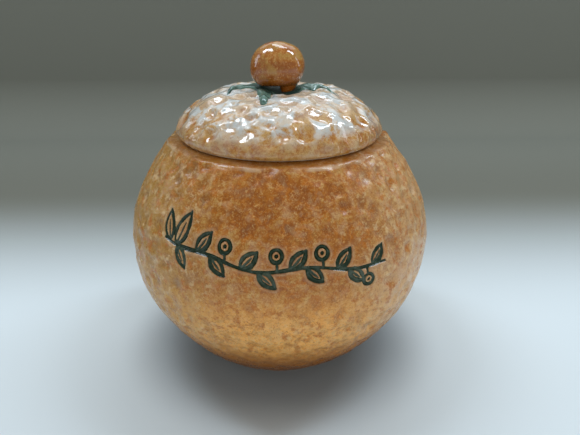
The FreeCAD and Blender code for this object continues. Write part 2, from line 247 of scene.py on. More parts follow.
belly_centre = (BELLY_RADIUS - BELLY_ARC, BELLY_HEIGHT)
belly_turn = math.asin(BELLY_BAND / BELLY_ARC)
flank_gap = FLANK_ARC - BELLY_ARC
flank_x = belly_centre[0] - flank_gap * math.cos(belly_turn)
low_centre = (flank_x, BELLY_HEIGHT + flank_gap * math.sin(belly_turn))
high_centre = (flank_x, BELLY_HEIGHT - flank_gap * math.sin(belly_turn))


def flank_turn(centre, radius, height):
    """The angle at which a flank circle reaches a height."""
    return math.asin((height - centre[1]) / radius)


foot_lift = 0.9 * mm
foot_turn = flank_turn(low_centre, FLANK_ARC, foot_lift)
rim_turn = flank_turn(high_centre, FLANK_ARC, RIM_EDGE_HEIGHT - 0.8 * mm)
foot_edge = arc_point(low_centre, FLANK_ARC, foot_turn)
rim_edge = arc_point(high_centre, FLANK_ARC, rim_turn)
inner_flank = FLANK_ARC - WALL
inner_belly = BELLY_ARC - WALL
floor_height = FOOT_RECESS + WALL
lip_under = SEAT_HEIGHT - LIP_THICKNESS
lip_turn = flank_turn(high_centre, inner_flank, lip_under)
floor_turn = flank_turn(low_centre, inner_flank, floor_height + 2.5 * mm)
floor_corner = arc_point(low_centre, inner_flank, floor_turn)

pot_profile = [
    (straight_path((0, FOOT_RECESS), (FOOT_INNER, FOOT_RECESS), INNER_STEP), 0),
    ([(FOOT_INNER + 0.3 * mm, 0.4 * mm), (FOOT_INNER + 0.8 * mm, 0)], 0),
    ([(foot_edge[0] - 1.3 * mm, 0), (foot_edge[0] - 0.5 * mm, 0.25 * mm)], 0),
    (arc_path(low_centre, FLANK_ARC, foot_turn, foot_turn + 0.02, OUTER_STEP), 0.3),
    (arc_path(low_centre, FLANK_ARC, foot_turn + 0.02, -belly_turn, OUTER_STEP), 1),
    (arc_path(belly_centre, BELLY_ARC, -belly_turn, belly_turn, OUTER_STEP), 1),
    (arc_path(high_centre, FLANK_ARC, belly_turn, rim_turn - 0.03, OUTER_STEP), 1),
    (arc_path(high_centre, FLANK_ARC, rim_turn - 0.02, rim_turn, 0.5 * mm), 1),
    ([(rim_edge[0] - 0.25 * mm, rim_edge[1] + 0.37 * mm)], 0.9),
    ([(rim_edge[0] - 0.60 * mm, rim_edge[1] + 0.68 * mm)], 0.8),
    ([(rim_edge[0] - 1.10 * mm, rim_edge[1] + 0.90 * mm)], 0.6),
    (straight_path((rim_edge[0] - 1.8 * mm, rim_edge[1] + 1.02 * mm),
                   (SEAT_OUTER, SEAT_HEIGHT), OUTER_STEP), 0.2),
    (straight_path((SEAT_OUTER, SEAT_HEIGHT), (MOUTH_RADIUS + 1 * mm, SEAT_HEIGHT), OUTER_STEP), 0),
    ([(MOUTH_RADIUS + 0.3 * mm, SEAT_HEIGHT - 0.3 * mm), (MOUTH_RADIUS, SEAT_HEIGHT - 1 * mm)], 0),
    ([(MOUTH_RADIUS, lip_under + 1 * mm), (MOUTH_RADIUS + 1 * mm, lip_under)], 0),
    (arc_path(high_centre, inner_flank, lip_turn, belly_turn, INNER_STEP), 0),
    (arc_path(belly_centre, inner_belly, belly_turn, -belly_turn, INNER_STEP), 0),
    (arc_path(low_centre, inner_flank, -belly_turn, floor_turn, INNER_STEP), 0),
    ([(floor_corner[0] - 3 * mm, floor_height + 0.6 * mm)], 0),
    (straight_path((floor_corner[0] - 6 * mm, floor_height), (0, floor_height), INNER_STEP), 0),
]
bm, skin_layer = turned_shape(pot_profile, POT_COLUMNS)

# The sprig's strokes lie on the unrolled front: across, in degrees from the middle of the front
# towards the right, and up, in millimetres above the base.
CUT_WIDTH = 0.80      # half the width of a full cut, mm
CUT_DEPTH = 0.95      # mm
CUT_SURROUND = 3      # how far from a cut its distance is worked out, mm
FAR_FROM_CUTS = 50.0      # stands for the distance beyond that, mm
BELLY_DEGREE = math.radians(1) * BELLY_RADIUS / mm      # millimetres along the belly in a degree


def stem_height(across):
    """The running stem sinks gently from left to right and waves on its way."""
    slope = 0.0019 if across < 10 else -0.0036
    return 61.0 + slope * (across - 10.0) ** 2 + 0.9 * math.sin(math.radians(across * 11.0))


def stroke(points, width=1.0, paleness=0.0, thin_start=1.0, thin_end=1.0):
    """A cut through the points. Its width swells from thin_start to full and back to thin_end."""
    spots = np.array([(x * BELLY_DEGREE, z) for x, z in points])
    along = np.linspace(0, 1, len(spots))
    swell = np.interp(along, [0, 0.25, 0.7, 1], [thin_start, 1, 1, thin_end])
    unsteady = 1 + 0.08 * np.sin(along * 17 + 9 * spots[0, 0]) + 0.05 * np.sin(along * 41)
    return {"points": spots, "widths": CUT_WIDTH * width * swell * unsteady, "pale": paleness}


def bowed_stroke(start, end, bow, width=1.0, paleness=0.0, thin_start=0.8, thin_end=0.55):
    """A curved cut from start to end whose middle stands out sideways by bow millimetres."""
    x0, z0 = start[0] * BELLY_DEGREE, start[1]
    x1, z1 = end[0] * BELLY_DEGREE, end[1]
    span = math.hypot(x1 - x0, z1 - z0)
    across, up = (z1 - z0) / span, -(x1 - x0) / span
    points = []
    for t in np.linspace(0, 1, 15):
        out = bow * 4 * t * (1 - t) * (1.2 - 0.4 * t)
        x, z = x0 + (x1 - x0) * t + across * out, z0 + (z1 - z0) * t + up * out
        points.append((x / BELLY_DEGREE, z))
    return stroke(points, width, paleness, thin_start, thin_end)


def leaf_strokes(root, tip, fullness, paleness):
    """An incised leaf: two bowed sides and a shorter, finer midrib."""
    middle = tuple(a + (b - a) * 0.68 for a, b in zip(root, tip))
    return [
        bowed_stroke(root, tip, fullness, 1.0, paleness, 0.7, 0.6),
        bowed_stroke(root, tip, -fullness, 0.85, paleness + 0.2, 0.7, 0.5),
        bowed_stroke(root, middle, 0.12, 0.5, paleness + 0.4, 1.0, 0.5),
    ]


def fruit_strokes(across, height, radius, paleness):
    """An incised little orange: a ring with a dot for its navel."""
    turns = np.linspace(1.9, 1.9 + math.tau, 25)
    ring = [
        (across + radius * math.cos(t) / BELLY_DEGREE, height + radius * math.sin(t)) for t in turns
    ]
    dot = [(across, height), (across + 0.08, height + 0.05)]
    return [stroke(ring, 0.85, paleness, 0.8, 0.7), stroke(dot, 0.75)]


STEM_PARTS = [(-43.5, -11.5, 0.9, 0.1), (-12.0, 12.5, 0.8, 0.4), (12.0, 37.0, 0.75, 0.3)]
strokes = []
for start, end, width, paleness in STEM_PARTS:
    line = [(a, stem_height(a)) for a in np.linspace(start, end, 34)]
    strokes.append(stroke(line, width, paleness, 0.7, 0.7))
LEAVES = [
    # across of the root, how far across and up the tip stands from it, fullness, paleness
    (-41.0, -2.6, 9.0, 2.0, 0.0),
    (-38.0, 4.2, 10.6, 2.3, 0.05),
    (-37.0, 3.6, -6.6, 1.7, 0.35),
    (-29.0, 5.0, 6.4, 1.8, 0.05),
    (-23.5, 5.2, -5.6, 1.7, 0.15),
    (-13.0, 5.4, 5.2, 1.7, 0.3),
    (-7.0, 5.2, -5.0, 1.6, 0.5),
    (3.0, 5.4, 5.4, 1.7, 0.3),
    (8.5, 5.0, -5.0, 1.6, 0.1),
    (18.6, 5.0, 5.6, 1.7, 0.1),
    (22.6, 5.2, -4.8, 1.6, 0.5),
    (31.6, 4.8, 5.4, 1.6, 0.2),
]
for root, reach_across, reach_up, fullness, paleness in LEAVES:
    start = (root, stem_height(root))
    tip = (root + reach_across, start[1] + reach_up)
    strokes.extend(leaf_strokes(start, tip, fullness, paleness))
FRUITS = [
    # across, height above the stem, radius, paleness
    (-18.6, 4.6, 2.0, 0.1),
    (-1.4, 4.7, 1.9, 0.35),
    (13.6, 4.5, 2.0, 0.15),
    (29.6, -4.4, 1.8, 0.3),
]
for across, rise_up, radius, paleness in FRUITS:
    foot = (across, stem_height(across))
    reach_up = rise_up - math.copysign(radius, rise_up)
    strokes.append(bowed_stroke(foot, (across, foot[1] + reach_up), 0.3, 0.55, 0.3))
    strokes.extend(fruit_strokes(across, foot[1] + rise_up, radius, paleness))


def distance_to_cuts(points):
    """For each point: its distance to the nearest cut's edge in mm, negative inside, and the cut's
    paleness there."""
    flat = np.stack([side_angle(points) * BELLY_DEGREE, points[:, 2] / mm], axis=1)
    nearest = np.full(len(points), FAR_FROM_CUTS)
    pale = np.zeros(len(points))
    for cut in strokes:
        line, widths = cut["points"], cut["widths"]
        low, high = line.min(axis=0) - CUT_SURROUND, line.max(axis=0) + CUT_SURROUND
        around = np.flatnonzero(np.all((flat > low) & (flat < high), axis=1))
        for a, b, wide in zip(line[:-1], line[1:], widths):
            step = b - a
            t = np.clip(((flat[around] - a) @ step) / max(step @ step, 1e-9), 0, 1)
            gap = np.linalg.norm(flat[around] - (a + t[:, None] * step), axis=1) - wide
            closer = gap < nearest[around]
            nearest[around[closer]] = gap[closer]
            pale[around[closer]] = cut["pale"]
    return nearest, pale


def side_angle(points):
    """Where points lie round the pot, in degrees: 0 at the front, 90 at the right."""
    return np.degrees(np.arctan2(points[:, 0], -points[:, 1]))


def vertex_places(bm):
    bm.verts.index_update()
    return np.array([v.co[:] for v in bm.verts])


def finer_near_cuts(bm, reach):
    """Halves the edges that lie within reach (mm) of a cut."""
    places = vertex_places(bm)
    outside_front = (places[:, 1] < 0) & (np.hypot(places[:, 0], places[:, 1]) > 45 * mm)
    near = np.zeros(len(places), dtype=bool)
    near[outside_front] = distance_to_cuts(places[outside_front])[0] < reach
    edges = [e for e in bm.edges if any(near[v.index] for v in e.verts)]
    bmesh.ops.subdivide_edges(bm, edges=edges, cuts=1, use_grid_fill=True)


finer_near_cuts(bm, 0.8)
finer_near_cuts(bm, 0.4)


def scattered(candidates, spacing, seed):
    """Picks places from the candidates, none nearer to another than the spacing. They are sorted
    first, so that the same ones are picked however the mesh numbers them."""
    candidates = candidates[np.lexsort(np.round(candidates.T / (0.01 * mm)))]
    order = np.random.default_rng(seed).permutation(len(candidates))
    kept = candidates[order[:1]]
    for index in order:
        place = candidates[index]
        if np.min(np.sum((kept - place) ** 2, axis=1)) > spacing ** 2:
            kept = np.vstack([kept, place])
    return kept


MARK_SIZES = (0.7, 1.35)
MARK_DEPTHS = (0.4, 1.25)
BOWL_POWER = 1.2
RIDGE_SHARPNESS = 8.0
BATCH = 4000      # points worked on at once


def beaten(points, marks, radius, depth, seed):
    """How far each point sinks under round tool marks of uneven size, with soft ridges between."""
    chance = np.random.default_rng(seed)
    radii = radius * chance.uniform(*MARK_SIZES, len(marks))
    depths = depth * chance.uniform(*MARK_DEPTHS, len(marks))
    softness = RIDGE_SHARPNESS / depth
    sunk = np.zeros(len(points))
    for first in range(0, len(points), BATCH):
        part = points[first:first + BATCH]
        gaps = np.sqrt(np.maximum(
            np.sum(part ** 2, axis=1)[:, None] + np.sum(marks ** 2, axis=1) - 2 * part @ marks.T, 0
        ))
        bowls = depths * np.maximum(1 - (gaps / radii) ** 2, 0) ** BOWL_POWER
        sunk[first:first + BATCH] = np.log1p(np.sum(np.expm1(softness * bowls), axis=1)) / softness
    return sunk


def shaken(points, wavelength, reach, seed):
    """The points moved about a little, so that marks set among them come out uneven in shape."""
    shifts = [lumps(points, wavelength, seed + number) for number in range(3)]
    return points + reach * np.stack(shifts, axis=1)


WAVES = 16
WAVES_SWING = 5.7      # what the waves' sum seldom goes beyond


def lumps(points, wavelength, seed):
    """A gentle unevenness between about -1 and 1, as a hand-worked wall has."""
    chance = np.random.default_rng(seed)
    total = np.zeros(len(points))
    for _ in range(WAVES):
        direction = chance.normal(size=3)
        direction *= math.tau / wavelength / np.linalg.norm(direction) * chance.uniform(0.6, 1.4)
        total += np.sin(points @ direction + chance.uniform(0, math.tau))
    return total / WAVES_SWING


def ease(value, low, high):
    t = np.clip((value - low) / (high - low), 0, 1)
    return t * t * (3 - 2 * t)


def surface(bm, skin_layer):
    """The vertices' places, normals and skin as arrays."""
    bm.normal_update()
    places = vertex_places(bm)
    normals = np.array([v.normal[:] for v in bm.verts])
    return places, normals, np.array([v[skin_layer] for v in bm.verts])


def push(bm, normals, amounts):
    """Moves every vertex along its normal."""
    for vert, shift in zip(bm.verts, normals * amounts[:, None]):
        vert.co += Vector(shift)


def finished_mesh(bm, name, **attributes):
    """Makes the piece's object, with its attributes kept for the glaze."""
    mesh = bpy.data.meshes.new(name)
    bm.to_mesh(mesh)
    for label, values in attributes.items():
        layer = mesh.attributes.new(label, "FLOAT", "POINT")
        layer.data.foreach_set("value", np.asarray(values, dtype=np.float32))
    piece = bpy.data.objects.new(name, mesh)
    bpy.context.collection.objects.link(piece)
    return piece


POT_MARK_DEPTH = 1.15 * mm
POT_MARK_RADIUS = 2.9 * mm
POT_MARK_SPACING = 5.4 * mm
RIM_MARK_DEPTH = 0.75 * mm
RIM_MARK_RADIUS = 4.6 * mm
RIM_MARK_SPACING = 6.5 * mm
RIM_MARK_BAND = (83.0 * mm, 86.5 * mm)
RIM_MARK_SHARE = 0.75
BEAD_HEIGHT = 88.5 * mm
BEAD_WIDTH = 0.8 * mm
BEAD_UNEVENNESS = 0.32 * mm
POT_GLAZE_THICKNESS = 0.20 * mm
POT_CALM = 0.68      # how much of the beating is left out where the wall is calm
BURR_HEIGHT = 0.20 * mm      # the clay that the tool pushed up beside a cut
places, normals, skin = surface(bm, skin_layer)
side = side_angle(places)
height = places[:, 2]

marks = scattered(places[skin > 0.6], POT_MARK_SPACING, seed=3)
shaken_places = shaken(places, 6 * mm, 0.9 * mm, seed=12)
sunk = beaten(shaken_places, marks, POT_MARK_RADIUS, POT_MARK_DEPTH, seed=4)
below_rim = (height > RIM_MARK_BAND[0]) & (height < RIM_MARK_BAND[1]) & (skin > 0.5)
rim_marks = scattered(places[below_rim], RIM_MARK_SPACING, seed=8)
rim_sunk = beaten(places, rim_marks, RIM_MARK_RADIUS, RIM_MARK_DEPTH, seed=9)

# The beating is calmer over the front, low on both sides, and next to the sprig.
calm_front = (1 - ease(np.abs(side + 8), 14, 44)) * (1 - 0.35 * ease(height, 60 * mm, 84 * mm))
calm_left = 0.5 * (1 - ease(np.abs(side + 62), 18, 45)) * (1 - ease(height, 60 * mm, 80 * mm))
calm_right = 0.8 * ease(side, 48, 62) * (1 - ease(side, 80, 110))
calm_right *= 1 - ease(height, 50 * mm, 66 * mm)
cut_gap = np.full(len(places), FAR_FROM_CUTS)
cut_pale = np.zeros(len(places))
in_front = (np.abs(side) < 60) & (skin > 0.9)
cut_gap[in_front], cut_pale[in_front] = distance_to_cuts(places[in_front])
calm_sprig = 1.25 * (1 - ease(cut_gap, 1.0, 3.0))
calm = np.max([calm_front, calm_left, calm_right, calm_sprig], axis=0)
strength = (1 - POT_CALM * calm) * skin
relief = np.maximum(sunk, RIM_MARK_SHARE * rim_sunk)
move = -relief * strength + POT_GLAZE_THICKNESS * skin
move += skin * (
    0.30 * mm * lumps(places, 34 * mm, seed=5) + 0.10 * mm * lumps(places, 11 * mm, seed=6)
)
move += skin * 0.035 * mm * lumps(places, 3.4 * mm, seed=10)
rim_bead = np.exp(-((height - BEAD_HEIGHT) / BEAD_WIDTH) ** 2)
rim_bead *= np.hypot(places[:, 0], places[:, 1]) > LID_OPENING
move += BEAD_UNEVENNESS * rim_bead * lumps(places, 10 * mm, seed=11)

inside = np.clip(-cut_gap / CUT_WIDTH + 0.15, 0, 1)
move -= CUT_DEPTH * mm * np.sqrt(inside) * (1 - 0.35 * cut_pale)
burr = np.exp(-((cut_gap - 0.40) / 0.38) ** 2)
move += BURR_HEIGHT * burr * np.clip(0.6 + 0.5 * lumps(places, 5 * mm, seed=7), 0, 1.2)
push(bm, normals, move)

pot_body = finished_mesh(
    bm, "pot_body",
    skin_depth=np.clip(relief / POT_MARK_DEPTH, 0, 1.4) * (0.45 + 0.55 * strength),
    cut=np.clip(0.5 - cut_gap, 0, 1),
    cut_pale=cut_pale,
    cut_edge=np.exp(-((cut_gap - 0.32) / 0.45) ** 2),
)
bm.free()
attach(pot_body, "root")
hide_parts("pot")


class Recipe:
    """A glaze's node tree, with short calls for the nodes that it is mixed from."""

    def __init__(self, name):
        self.material = bpy.data.materials.new(name)
        self.material.use_nodes = True
        self.tree = self.material.node_tree
        self.shader = self.tree.nodes["Principled BSDF"]
        self.place = self.tree.nodes.new("ShaderNodeTexCoord").outputs["Object"]

    def feed(self, value, socket):
        """Links a node's output to a socket, or sets the socket to a plain value."""
        if isinstance(value, bpy.types.NodeSocket):
            self.tree.links.new(value, socket)
        else:
            socket.default_value = value

    def noise(self, size, detail=3.0, roughness=0.55, distortion=0.0):
        """Cloudy noise round 0.5 whose blotches are about size metres across."""
        node = self.tree.nodes.new("ShaderNodeTexNoise")
        node.inputs["Scale"].default_value = 1.0 / size
        node.inputs["Detail"].default_value = detail
        node.inputs["Roughness"].default_value = roughness
        node.inputs["Distortion"].default_value = distortion
        self.tree.links.new(self.place, node.inputs["Vector"])
        return node.outputs["Fac"]

    def window(self, value, low, high, bottom=0.0, top=1.0):
        """Stretches value so that low becomes bottom and high becomes top."""
        node = self.tree.nodes.new("ShaderNodeMapRange")
        node.interpolation_type = "SMOOTHSTEP"
        node.inputs["From Min"].default_value = low
        node.inputs["From Max"].default_value = high
        node.inputs["To Min"].default_value = bottom
        node.inputs["To Max"].default_value = top
        self.feed(value, node.inputs["Value"])
        return node.outputs["Result"]

    def math(self, operation, *values):
        node = self.tree.nodes.new("ShaderNodeMath")
        node.operation = operation
        for value, socket in zip(values, node.inputs):
            self.feed(value, socket)
        return node.outputs["Value"]

    def around(self, base, *shares):
        """base, plus each value's distance from one half times its weight."""
        total = base
        for value, weight in shares:
            total = self.math("ADD", total, self.math("MULTIPLY_ADD", value, weight, -weight / 2))
        return total

    def mix(self, share, first, second):
        node = self.tree.nodes.new("ShaderNodeMix")
        node.data_type = "RGBA"
        self.feed(share, node.inputs["Factor"])
        self.feed(first, node.inputs["A"])
        self.feed(second, node.inputs["B"])
        return node.outputs["Result"]

    def ramp(self, value, colours):
        """Runs through the colours, evenly spaced, as value goes from 0 to 1."""
        node = self.tree.nodes.new("ShaderNodeValToRGB")
        stops = node.color_ramp.elements
        for number in range(len(colours) - 2):
            stops.new((number + 1) / (len(colours) - 1))
        for stop, colour in zip(stops, colours):
            stop.color = colour
        self.feed(value, node.inputs["Fac"])
        return node.outputs["Color"]

    def attribute(self, name):
        node = self.tree.nodes.new("ShaderNodeAttribute")
        node.attribute_name = name
        return node.outputs["Fac"]

    def axis(self, name):
        node = self.tree.nodes.new("ShaderNodeSeparateXYZ")
        self.tree.links.new(self.place, node.inputs["Vector"])
        return node.outputs[name]

    def bump(self, height, distance):
        node = self.tree.nodes.new("ShaderNodeBump")
        node.inputs["Distance"].default_value = distance
        self.feed(height, node.inputs["Height"])
        self.tree.links.new(node.outputs["Normal"], self.shader.inputs["Normal"])

    def fire(self, piece, colour, roughness, coat, coat_roughness=0.05):
        """Sets the glaze's colour and gloss and puts it on the piece."""
        self.feed(colour, self.shader.inputs["Base Color"])
        self.feed(roughness, self.shader.inputs["Roughness"])
        self.shader.inputs["IOR"].default_value = 1.52
        self.shader.inputs["Coat Weight"].default_value = coat
        self.shader.inputs["Coat Roughness"].default_value = coat_roughness
        piece.data.materials.clear()
        piece.data.materials.append(self.material)


PALE_TAN = (0.50, 0.29, 0.095, 1)
GOLDEN = (0.43, 0.190, 0.036, 1)
ORANGE = (0.36, 0.112, 0.007, 1)
DEEP_ORANGE = (0.28, 0.074, 0.004, 1)
BRIGHT_ORANGE = (0.43, 0.128, 0.006, 1)
SAND = (0.66, 0.460, 0.230, 1)
AMBER = (0.92, 0.415, 0.080, 1)
GOLD_TAN = (0.60, 0.380, 0.165, 1)
ROSY_SHEEN = (0.66, 0.440, 0.265, 1)
BURNT = (0.22, 0.068, 0.005, 1)
FLECK_GOLD = (0.66, 0.42, 0.16, 1)
FLECK_BROWN = (0.24, 0.072, 0.005, 1)
GREY_MAUVE = (0.27, 0.175, 0.100, 1)
LILAC = (0.56, 0.40, 0.25, 1)
OLIVE_OCHRE = (0.40, 0.235, 0.050, 1)
CREAM_INSIDE = (0.74, 0.69, 0.58, 1)
BARE_CLAY = (0.62, 0.52, 0.40, 1)
CUT_GREEN = (0.008, 0.028, 0.012, 1)
CUT_GREY = (0.060, 0.085, 0.055, 1)


def sponged_orange(recipe, depth, contrast, washes=()):
    """Orange sponged on in layers: from pale tan where depth is 0 to deep orange where it is 1,
    then washes of (share, colour), and over them a fine stipple of gold and brown."""
    clouds = recipe.noise(12 * mm, 3.0)
    blotches = recipe.noise(4.5 * mm, 4.0, 0.6)
    dabs = recipe.noise(1.6 * mm, 3.0, 0.65)
    level = recipe.around(
        depth, (clouds, 0.9 * contrast), (blotches, 1.5 * contrast), (dabs, 1.5 * contrast)
    )
    colour = recipe.ramp(level, [PALE_TAN, GOLDEN, ORANGE, DEEP_ORANGE])
    for share, wash in washes:
        colour = recipe.mix(share, colour, wash)
    grain = recipe.noise(1.0 * mm, 4.0, 0.70, 1.6)
    gold = recipe.window(grain, 0.50, 0.70, 0.0, 0.58)
    brown = recipe.window(grain, 0.50, 0.33, 0.0, 0.62)
    colour = recipe.mix(gold, colour, FLECK_GOLD)
    return recipe.mix(brown, colour, FLECK_BROWN), grain


glaze = Recipe("pot_glaze")
height = glaze.axis("Z")
right = glaze.axis("X")
hollow = glaze.attribute("skin_depth")
# Deeper orange higher up and paler low down, partly the glaze's own tone and partly painted light
# of the floor's bounce; deeper in the tool marks, partly where the glaze pools and partly painted
# shade.
depth = glaze.around(glaze.window(height, 30 * mm, 62 * mm, 0.42, 0.98), (hollow, 0.80))
grey_patch = glaze.window(glaze.noise(4.5 * mm, 3.0), 0.54, 0.64, 0.0, 0.65)
# Lilac on the crests between the marks, more of it higher up: a painted sheen.
crest_sheen = glaze.math(
    "MULTIPLY", glaze.window(hollow, 0.25, 0.0), glaze.window(glaze.noise(3 * mm, 3.0), 0.48, 0.64)
)
crest_sheen = glaze.math("MULTIPLY", crest_sheen, glaze.window(height, 38 * mm, 66 * mm, 0.10, 0.25))
patchy = glaze.window(glaze.noise(6 * mm, 4.0, 0.6), 0.36, 0.56, 0.60, 1.0)
low_band = glaze.window(height, 50 * mm, 34 * mm, 0.0, 0.70)
aside = glaze.window(glaze.math("ABSOLUTE", right), 12 * mm, 36 * mm, 0.30, 1.0)
sand_dabs = glaze.window(glaze.noise(2.6 * mm, 4.0, 0.65), 0.53, 0.64, 0.0, 0.70)
sand_dabs = glaze.math("MULTIPLY", sand_dabs, aside)
orange_dabs = glaze.window(glaze.noise(3.3 * mm, 4.0, 0.70), 0.51, 0.61, 0.0, 0.85)
low_flecks = glaze.window(glaze.noise(1.4 * mm, 3.0, 0.7, 1.0), 0.50, 0.60)
low_flecks = glaze.math("MULTIPLY", low_band, low_flecks)
low_dabs = glaze.window(glaze.noise(3.0 * mm, 4.0, 0.7), 0.50, 0.38)
low_dabs = glaze.math("MULTIPLY", low_band, low_dabs)
colour, grain = sponged_orange(glaze, depth, 1.2, [
    # Amber in patches low down: partly the glaze's own tone, partly painted light of the floor's
    # bounce.
    (glaze.math("MULTIPLY", patchy, glaze.window(height, 58 * mm, 38 * mm, 0.0, 0.80)), AMBER),
    # Towards the right side the glaze is washed paler, gold tan in patches and rosy tan lower down:
    # painted sheen of the light from the right.
    (glaze.math("MULTIPLY", patchy, glaze.window(right, 14 * mm, 46 * mm, 0.0, 0.60)), GOLD_TAN),
    (glaze.math("MULTIPLY", glaze.window(right, 22 * mm, 52 * mm, 0.0, 0.60),
                glaze.window(height, 66 * mm, 48 * mm)), ROSY_SHEEN),
    (glaze.window(right, -10 * mm, -48 * mm, 0.0, 0.70), OLIVE_OCHRE),
    (orange_dabs, BRIGHT_ORANGE),
    (sand_dabs, SAND),
    (glaze.math("MULTIPLY", grey_patch, hollow), GREY_MAUVE),
    (crest_sheen, LILAC),
    (low_flecks, FLECK_GOLD),
    (low_dabs, GOLDEN),
    (glaze.window(height, 34 * mm, 14 * mm, 0.0, 0.7), ORANGE),
])
# Burnt orange towards the foot: partly the glaze pooled thicker there, partly painted shade near
# the floor.
colour = glaze.mix(glaze.window(height, 30 * mm, 10 * mm, 0.0, 0.92), colour, BURNT)
# A pale lilac line along the rim's ridge, in patches: the glaze breaking thin over it, with a
# painted sheen.
ridge = glaze.window(height, 87.6 * mm, 88.3 * mm)
ridge = glaze.math("MULTIPLY", ridge, glaze.window(height, 89.2 * mm, 88.7 * mm))
ridge = glaze.math("MULTIPLY", ridge, glaze.window(glaze.noise(14 * mm, 3.0), 0.45, 0.62, 0.0, 0.6))
colour = glaze.mix(ridge, colour, LILAC)
# Burnt orange just under the lid's edge: painted shade of the lid.
colour = glaze.mix(glaze.window(height, 88.6 * mm, 89.2 * mm, 0.0, 0.5), colour, BURNT)
colour = glaze.mix(glaze.math("MULTIPLY", glaze.attribute("cut_edge"), 0.3), colour, LILAC)
green_level = glaze.around(glaze.attribute("cut_pale"), (glaze.noise(1.6 * mm, 2.0), 2.2))
green = glaze.mix(glaze.window(green_level, 0.0, 1.0), CUT_GREEN, CUT_GREY)
colour = glaze.mix(glaze.window(glaze.attribute("cut"), 0.42, 0.58), colour, green)
outside = glaze.math(
    "MAXIMUM", glaze.window(glaze.attribute("skin"), 0.0, 0.2),
    glaze.window(height, 84 * mm, 85.5 * mm),
)
colour = glaze.mix(outside, CREAM_INSIDE, colour)
wiped = glaze.window(height, 0.7 * mm, 0.2 * mm)
colour = glaze.mix(wiped, colour, BARE_CLAY)
gloss = glaze.window(glaze.noise(5 * mm, 2.0), 0.3, 0.7, 0.22, 0.38)
off_centre = glaze.window(glaze.math("ABSOLUTE", right), 8 * mm, 20 * mm, 0.2, 1.0)
pooled = glaze.math("MULTIPLY", off_centre, glaze.window(height, 87.7 * mm, 88.4 * mm))
pooled = glaze.math("MAXIMUM", pooled, glaze.attribute("cut"))
gloss = glaze.mix(pooled, gloss, (0.12, 0.12, 0.12, 1))
peel = glaze.math("ADD", glaze.noise(2.4 * mm, 2.0), glaze.math("MULTIPLY", grain, 0.35))
glaze.bump(peel, 0.14 * mm)
gloss = glaze.mix(wiped, gloss, (0.8, 0.8, 0.8, 1))
glaze.shader.inputs["Specular IOR Level"].default_value = 0.38
glaze.fire(pot_body, colour, gloss, coat=0.08, coat_roughness=0.18)


# ---- Lid ----
# The lid is a shallow dome of the same clay, beaten with a larger tool. Its glaze is thinner, so
# the pale clay shows through between patches of orange. It lies loose on the pot's seat, and its
# flange keeps it in the mouth.

LID_RADIUS = 37.9 * mm
CREST_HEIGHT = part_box("lid")[1][2]
CREST_RADIUS = 10.5 * mm
CREST_ARC = 11.0 * mm
HOLLOW_DEPTH = 2.2 * mm
CROWN_ARC = 73.0 * mm
HIP_ARC = 26.0 * mm
EDGE_ARC = 3.6 * mm
LIP_RADIUS = 37.1 * mm
LIP_HEIGHT = 90.3 * mm
CONTACT_RADIUS = 34.4 * mm
CEILING_HEIGHT = 99.4 * mm
FLANGE_OUTER = 30.7 * mm
FLANGE_INNER = 26.9 * mm
FLANGE_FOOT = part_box("lid")[0][2]
LID_COLUMNS = 420
LID_STEP = 0.6 * mm

apart = (CREST_RADIUS ** 2 + HOLLOW_DEPTH ** 2) / (2 * HOLLOW_DEPTH)
hollow_arc = apart - CREST_ARC
hollow_centre = (0.0, CREST_HEIGHT - HOLLOW_DEPTH + hollow_arc)
crest_centre = (CREST_RADIUS, CREST_HEIGHT - CREST_ARC)
crown_centre = (CREST_RADIUS, CREST_HEIGHT - CROWN_ARC)
edge_x = LID_RADIUS - EDGE_ARC
edge_centre = (edge_x, LIP_HEIGHT + math.sqrt(EDGE_ARC ** 2 - (LIP_RADIUS - edge_x) ** 2))
lean = math.atan2(edge_centre[1] - crown_centre[1], edge_centre[0] - crown_centre[0])
span = math.dist(edge_centre, crown_centre)
to_edge, to_crown = HIP_ARC - EDGE_ARC, CROWN_ARC - HIP_ARC
hip_turn = lean + math.acos((span ** 2 + to_crown ** 2 - to_edge ** 2) / (2 * span * to_crown))
hip_centre = arc_point(crown_centre, to_crown, hip_turn)
edge_turn = math.atan2(edge_centre[1] - hip_centre[1], edge_centre[0] - hip_centre[0])
lip_turn = math.asin((LIP_HEIGHT - edge_centre[1]) / EDGE_ARC)
hollow_turn = math.atan2(crest_centre[1] - hollow_centre[1], crest_centre[0] - hollow_centre[0])
ceiling_round = 6.0 * mm
round_centre = (FLANGE_INNER - ceiling_round, CEILING_HEIGHT - ceiling_round)

